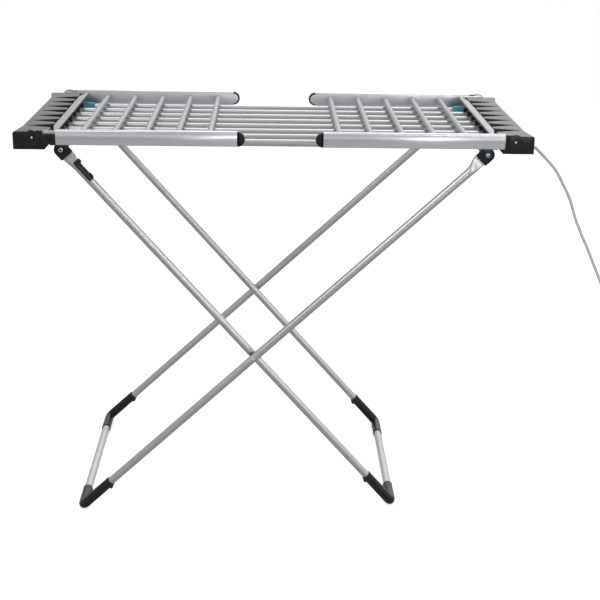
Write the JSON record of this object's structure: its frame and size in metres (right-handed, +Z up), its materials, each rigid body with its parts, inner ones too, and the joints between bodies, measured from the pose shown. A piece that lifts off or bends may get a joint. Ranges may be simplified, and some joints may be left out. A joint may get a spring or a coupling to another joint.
{
  "type": "heated clothes airer",
  "caption": "Free-standing heated clothes airer with warm bars between ribbed end housings, two fold-out rod wings and a crossed folding stand.",
  "frame": {"origin": "on the floor, below the middle of the airer without its cord", "axes": "+X towards the housing that the mains cord leaves, +Y to the rear, +Z up"},
  "size_m": [1.5928, 0.566, 0.935],
  "materials": {
    "black_plastic": "satin black moulded plastic",
    "rib_plastic": "dark grey fine-grained plastic",
    "warm_bar_metal": "satin aluminium",
    "cable": "matte",
    "cord_rubber": "satin light grey",
    "plug_plastic": "satin light grey",
    "teal_plastic": "satin teal",
    "rail_metal": "satin anodised",
    "tube_metal": "satin light grey"
  },
  "bodies": {
    "deck": {"housing_left": "black_plastic", "housing_right": "black_plastic", "ribbed_lid_left": "rib_plastic", "ribbed_lid_right": "rib_plastic", "warm_bar_1": "warm_bar_metal", "warm_bar_2": "warm_bar_metal", "warm_bar_3": "warm_bar_metal", "warm_bar_4": "warm_bar_metal", "warm_bar_5": "warm_bar_metal", "warm_bar_6": "warm_bar_metal", "warm_bar_7": "warm_bar_metal", "warm_bar_8": "warm_bar_metal", "heating_cable": "cable", "sleeve_right_front": "teal_plastic", "sleeve_right_rear": "teal_plastic", "cord_strain_relief": "cord_rubber", "mains_cord": "cord_rubber", "cord_coil": "cord_rubber", "plug": "plug_plastic"},
    "wing_left": {"wing_left_rail_front": "rail_metal", "wing_left_rail_rear": "rail_metal", "wing_left_arm_front": "black_plastic", "wing_left_arm_rear": "black_plastic", "wing_left_cap_front": "black_plastic", "wing_left_cap_rear": "black_plastic", "wing_left_rod_1": "tube_metal", "wing_left_rod_2": "tube_metal", "wing_left_rod_3": "tube_metal", "wing_left_rod_4": "tube_metal", "wing_left_rod_5": "tube_metal", "wing_left_flat_bar": "tube_metal"},
    "wing_right": {"wing_right_rail_front": "rail_metal", "wing_right_rail_rear": "rail_metal", "wing_right_arm_front": "black_plastic", "wing_right_arm_rear": "black_plastic", "wing_right_cap_front": "black_plastic", "wing_right_cap_rear": "black_plastic", "wing_right_rod_1": "tube_metal", "wing_right_rod_2": "tube_metal", "wing_right_rod_3": "tube_metal", "wing_right_rod_4": "tube_metal", "wing_right_rod_5": "tube_metal", "wing_right_flat_bar": "tube_metal"},
    "sliding_sleeves": {"sleeve_left_front": "teal_plastic", "sleeve_left_rear": "teal_plastic"},
    "narrow_frame": {"narrow_tube_front": "tube_metal", "narrow_tube_rear": "tube_metal", "narrow_bracket_front": "black_plastic", "narrow_bracket_rear": "black_plastic", "narrow_elbow_front": "black_plastic", "narrow_elbow_rear": "black_plastic", "narrow_foot_tube": "tube_metal", "stand_clip": "black_plastic"},
    "wide_frame": {"wide_tube_front": "tube_metal", "wide_tube_rear": "tube_metal", "wide_bracket_front": "black_plastic", "wide_bracket_rear": "black_plastic", "wide_elbow_front": "black_plastic", "wide_elbow_rear": "black_plastic", "wide_foot_tube": "tube_metal"}
  },
  "joints": [
    {"name": "wing_left_fold", "type": "hinge", "parent": "deck", "child": "wing_left", "pos_m": [-0.5355, 0, 0.918], "axis": [0, -1, 0], "range_deg": [0, 180]},
    {"name": "wing_right_fold", "type": "hinge", "parent": "deck", "child": "wing_right", "pos_m": [0.5355, 0, 0.918], "axis": [0, 1, 0], "range_deg": [0, 180]},
    {"name": "sleeve_slide", "type": "slide", "parent": "deck", "child": "sliding_sleeves", "axis": [1, 0, 0], "range_m": [0, 0.8913]},
    {"name": "stand_fold", "type": "hinge", "parent": "sliding_sleeves", "child": "narrow_frame", "pos_m": [-0.478, 0, 0.885], "axis": [0, 1, 0], "range_deg": [0, 129.26]},
    {"name": "wide_frame_fold", "type": "hinge", "parent": "deck", "child": "wide_frame", "pos_m": [0.478, 0, 0.885], "axis": [0, 1, 0], "range_deg": [0, 40.99]}
  ],
  "couplings": [
    {"joint": "sleeve_slide", "follows": "stand_fold", "m_per_rad": 0.39497},
    {"joint": "wide_frame_fold", "follows": "stand_fold", "ratio": 0.31693}
  ]
}
